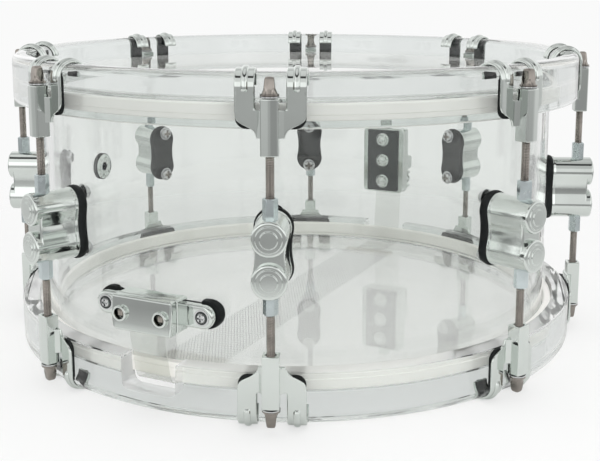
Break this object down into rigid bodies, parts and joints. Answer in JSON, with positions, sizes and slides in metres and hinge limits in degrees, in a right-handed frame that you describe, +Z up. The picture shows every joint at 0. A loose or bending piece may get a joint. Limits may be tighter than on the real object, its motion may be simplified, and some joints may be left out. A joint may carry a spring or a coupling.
{
  "type": "acrylic snare drum",
  "caption": "Clear acrylic snare drum with clear hoops, chrome claws and tension rods, turret lugs, snare wires and a lever strainer.",
  "frame": {"origin": "centre of the drum on the plane that the lower claws stand on", "axes": "+Z up along the drum's axis towards the batter head, -Y towards the lug that faces the picture's camera"},
  "size_m": [0.4256, 0.4256, 0.2042],
  "materials": {
    "clear_acrylic": "polished clear acrylic",
    "clear_film": "glossy clear polyester film in an aluminium flesh hoop",
    "chrome": "polished chrome plate",
    "rod_steel": "warm dark nickel",
    "black_rubber": "matt black rubber",
    "black_plate": "satin black plastic with steel bolts",
    "snare_steel": "bright coiled steel wire",
    "strap_plastic": "translucent plastic strap"
  },
  "bodies": {
    "drum": {"shell": "clear_acrylic", "batter_hoop": "clear_acrylic", "snare_side_hoop": "clear_acrylic", "batter_head": "clear_film", "snare_side_head": "clear_film", "butt_gasket": "black_rubber", "butt_base": "chrome", "butt_clamp": "chrome", "butt_strap": "strap_plastic", "strainer_backing_plate": "black_plate", "strainer_base": "chrome", "vent_grommet": "chrome", "lug_1": "chrome", "batter_claw_1": "chrome", "snare_side_claw_1": "chrome", "lug_2": "chrome", "batter_claw_2": "chrome", "snare_side_claw_2": "chrome", "lug_3": "chrome", "batter_claw_3": "chrome", "snare_side_claw_3": "chrome", "lug_4": "chrome", "batter_claw_4": "chrome", "snare_side_claw_4": "chrome", "lug_5": "chrome", "batter_claw_5": "chrome", "snare_side_claw_5": "chrome", "lug_6": "chrome", "batter_claw_6": "chrome", "snare_side_claw_6": "chrome", "lug_7": "chrome", "batter_claw_7": "chrome", "snare_side_claw_7": "chrome", "lug_8": "chrome", "batter_claw_8": "chrome", "snare_side_claw_8": "chrome"},
    "batter_tension_rod_1": {"batter_tension_rod_1": "rod_steel"},
    "batter_tension_rod_2": {"batter_tension_rod_2": "rod_steel"},
    "batter_tension_rod_3": {"batter_tension_rod_3": "rod_steel"},
    "batter_tension_rod_4": {"batter_tension_rod_4": "rod_steel"},
    "batter_tension_rod_5": {"batter_tension_rod_5": "rod_steel"},
    "batter_tension_rod_6": {"batter_tension_rod_6": "rod_steel"},
    "batter_tension_rod_7": {"batter_tension_rod_7": "rod_steel"},
    "batter_tension_rod_8": {"batter_tension_rod_8": "rod_steel"},
    "snare_side_tension_rod_1": {"snare_side_tension_rod_1": "rod_steel"},
    "snare_side_tension_rod_2": {"snare_side_tension_rod_2": "rod_steel"},
    "snare_side_tension_rod_3": {"snare_side_tension_rod_3": "rod_steel"},
    "snare_side_tension_rod_4": {"snare_side_tension_rod_4": "rod_steel"},
    "snare_side_tension_rod_5": {"snare_side_tension_rod_5": "rod_steel"},
    "snare_side_tension_rod_6": {"snare_side_tension_rod_6": "rod_steel"},
    "snare_side_tension_rod_7": {"snare_side_tension_rod_7": "rod_steel"},
    "snare_side_tension_rod_8": {"snare_side_tension_rod_8": "rod_steel"},
    "strainer_lever": {"strainer_lever": "chrome"},
    "strainer_slide": {"strainer_slide": "chrome", "strainer_clamp": "chrome", "strainer_strap": "strap_plastic"},
    "strainer_knob": {"strainer_knob": "chrome"},
    "snare_wires": {"snare_wires": "snare_steel"}
  },
  "joints": [
    {"name": "batter_rod_turn_1", "type": "hinge", "parent": "drum", "child": "batter_tension_rod_1", "pos_m": [0, -0.2018, 0.1621], "axis": [0, 0, 1], "continuous": true},
    {"name": "batter_rod_turn_2", "type": "hinge", "parent": "drum", "child": "batter_tension_rod_2", "pos_m": [0.14269, -0.14269, 0.1621], "axis": [0, 0, 1], "continuous": true},
    {"name": "batter_rod_turn_3", "type": "hinge", "parent": "drum", "child": "batter_tension_rod_3", "pos_m": [0.2018, 0, 0.1621], "axis": [0, 0, 1], "continuous": true},
    {"name": "batter_rod_turn_4", "type": "hinge", "parent": "drum", "child": "batter_tension_rod_4", "pos_m": [0.14269, 0.14269, 0.1621], "axis": [0, 0, 1], "continuous": true},
    {"name": "batter_rod_turn_5", "type": "hinge", "parent": "drum", "child": "batter_tension_rod_5", "pos_m": [0, 0.2018, 0.1621], "axis": [0, 0, 1], "continuous": true},
    {"name": "batter_rod_turn_6", "type": "hinge", "parent": "drum", "child": "batter_tension_rod_6", "pos_m": [-0.14269, 0.14269, 0.1621], "axis": [0, 0, 1], "continuous": true},
    {"name": "batter_rod_turn_7", "type": "hinge", "parent": "drum", "child": "batter_tension_rod_7", "pos_m": [-0.2018, 0, 0.1621], "axis": [0, 0, 1], "continuous": true},
    {"name": "batter_rod_turn_8", "type": "hinge", "parent": "drum", "child": "batter_tension_rod_8", "pos_m": [-0.14269, -0.14269, 0.1621], "axis": [0, 0, 1], "continuous": true},
    {"name": "snare_side_rod_turn_1", "type": "hinge", "parent": "drum", "child": "snare_side_tension_rod_1", "pos_m": [0, -0.2018, 0.0421], "axis": [0, 0, -1], "continuous": true},
    {"name": "snare_side_rod_turn_2", "type": "hinge", "parent": "drum", "child": "snare_side_tension_rod_2", "pos_m": [0.14269, -0.14269, 0.0421], "axis": [0, 0, -1], "continuous": true},
    {"name": "snare_side_rod_turn_3", "type": "hinge", "parent": "drum", "child": "snare_side_tension_rod_3", "pos_m": [0.2018, 0, 0.0421], "axis": [0, 0, -1], "continuous": true},
    {"name": "snare_side_rod_turn_4", "type": "hinge", "parent": "drum", "child": "snare_side_tension_rod_4", "pos_m": [0.14269, 0.14269, 0.0421], "axis": [0, 0, -1], "continuous": true},
    {"name": "snare_side_rod_turn_5", "type": "hinge", "parent": "drum", "child": "snare_side_tension_rod_5", "pos_m": [0, 0.2018, 0.0421], "axis": [0, 0, -1], "continuous": true},
    {"name": "snare_side_rod_turn_6", "type": "hinge", "parent": "drum", "child": "snare_side_tension_rod_6", "pos_m": [-0.14269, 0.14269, 0.0421], "axis": [0, 0, -1], "continuous": true},
    {"name": "snare_side_rod_turn_7", "type": "hinge", "parent": "drum", "child": "snare_side_tension_rod_7", "pos_m": [-0.2018, 0, 0.0421], "axis": [0, 0, -1], "continuous": true},
    {"name": "snare_side_rod_turn_8", "type": "hinge", "parent": "drum", "child": "snare_side_tension_rod_8", "pos_m": [-0.14269, -0.14269, 0.0421], "axis": [0, 0, -1], "continuous": true},
    {"name": "lever_throw", "type": "hinge", "parent": "drum", "child": "strainer_lever", "pos_m": [0.076, 0.18348, 0.0881], "axis": [-0.9239, 0.3827, 0], "range_deg": [0, 90]},
    {"name": "slide_drop", "type": "slide", "parent": "drum", "child": "strainer_slide", "axis": [0, 0, -1], "range_m": [0, 0.0026]},
    {"name": "snare_fall", "type": "hinge", "parent": "drum", "child": "snare_wires", "pos_m": [-0.05664, -0.13673, 0.0171], "axis": [-0.9239, 0.3827, 0], "range_deg": [0, 0.50327]},
    {"name": "tension_knob_turn", "type": "hinge", "parent": "drum", "child": "strainer_knob", "pos_m": [0.07179, 0.17332, 0.1241], "axis": [0, 0, 1], "continuous": true}
  ],
  "couplings": [
    {"joint": "slide_drop", "follows": "lever_throw", "m_per_rad": 0.001655},
    {"joint": "snare_fall", "follows": "lever_throw", "ratio": 0.0055914}
  ]
}
